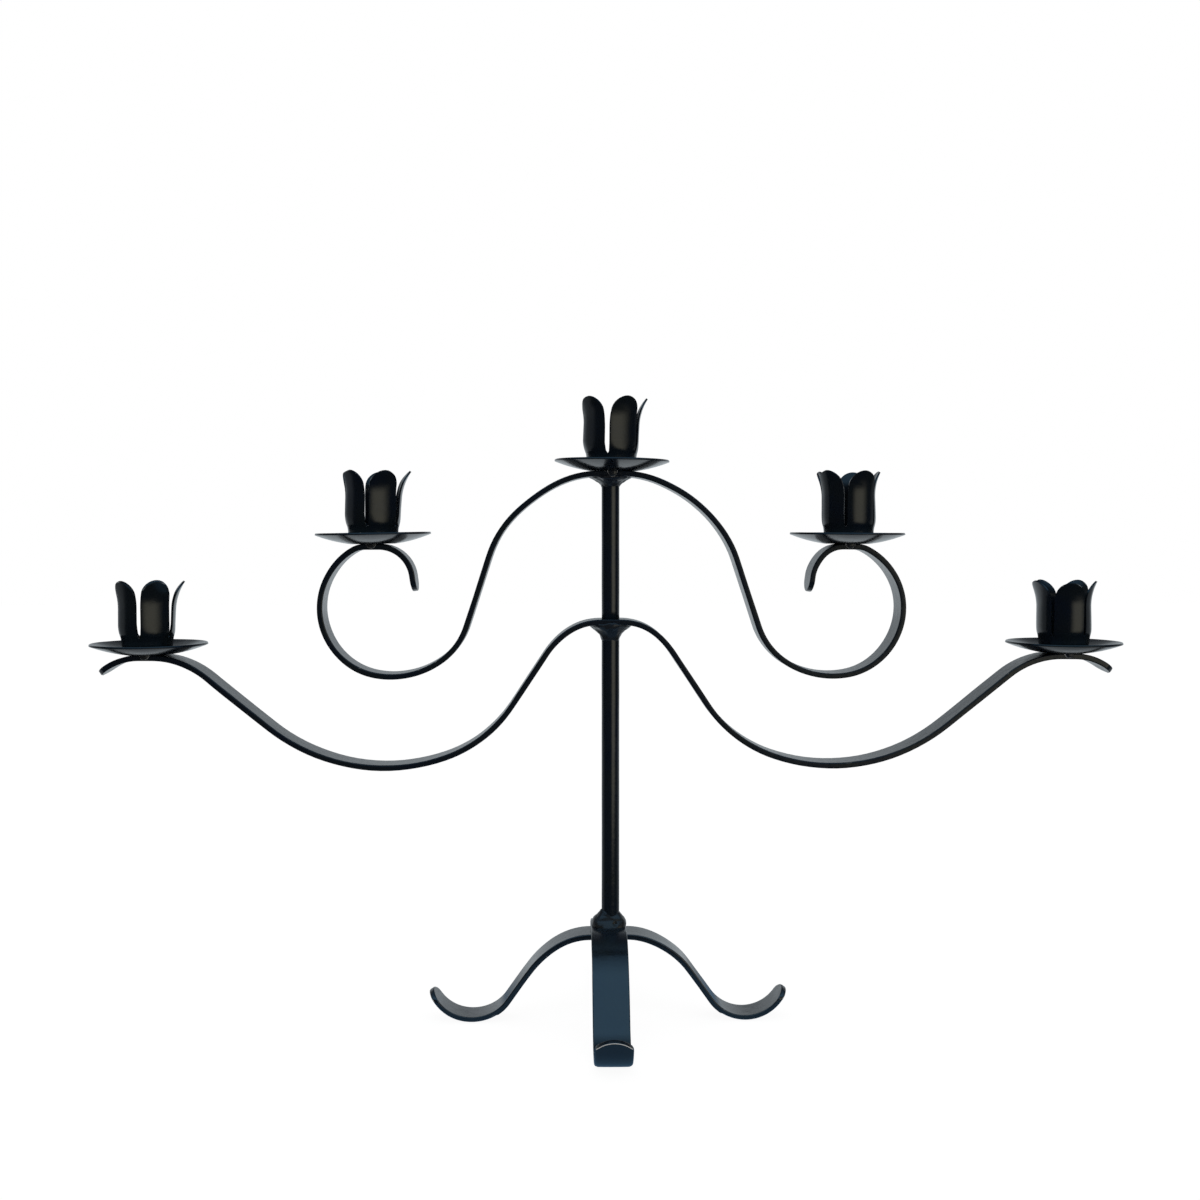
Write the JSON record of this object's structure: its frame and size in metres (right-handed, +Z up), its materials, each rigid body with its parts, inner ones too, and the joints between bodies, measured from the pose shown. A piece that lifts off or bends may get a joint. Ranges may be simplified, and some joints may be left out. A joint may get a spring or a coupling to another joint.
{
  "type": "table candelabrum",
  "caption": "Wrought-iron candle stand with crossed bent-bar feet, a rod stem and two tiers of scrolled arms that carry petalled cups on drip pans.",
  "frame": {"origin": "on the table, midway between the four feet, under the stem", "axes": "+X along the arms, to the right as pictured; +Y away from the viewer; +Z up along the stem"},
  "size_m": [0.465, 0.166, 0.2808],
  "materials": {
    "bar_paint": "satin black paint",
    "sheet_paint": "satin black paint on sheet",
    "weld_paint": "satin black paint over weld beads",
    "rivet_paint": "worn black paint"
  },
  "bodies": {
    "root": {"base_bar_side": "bar_paint", "base_bar_front": "bar_paint", "cross_weld": "weld_paint", "base_weld": "weld_paint", "lower_stem": "bar_paint", "lower_arm_bar": "bar_paint", "mid_weld": "weld_paint", "upper_stem": "bar_paint", "upper_arm_bar": "bar_paint", "top_weld": "weld_paint", "drip_pan_centre": "sheet_paint", "drip_pan_upper_left": "sheet_paint", "drip_pan_upper_right": "sheet_paint", "drip_pan_lower_left": "sheet_paint", "drip_pan_lower_right": "sheet_paint", "candle_cup_centre": "sheet_paint", "candle_cup_upper_left": "sheet_paint", "candle_cup_upper_right": "sheet_paint", "candle_cup_lower_left": "sheet_paint", "candle_cup_lower_right": "sheet_paint", "rivet_centre": "rivet_paint", "rivet_upper_left": "rivet_paint", "rivet_upper_right": "rivet_paint", "rivet_lower_left": "rivet_paint", "rivet_lower_right": "rivet_paint", "pan_tack_centre": "weld_paint", "pan_tack_upper_left": "weld_paint", "pan_tack_upper_right": "weld_paint", "pan_tack_lower_left": "weld_paint", "pan_tack_lower_right": "weld_paint"}
  },
  "joints": []
}
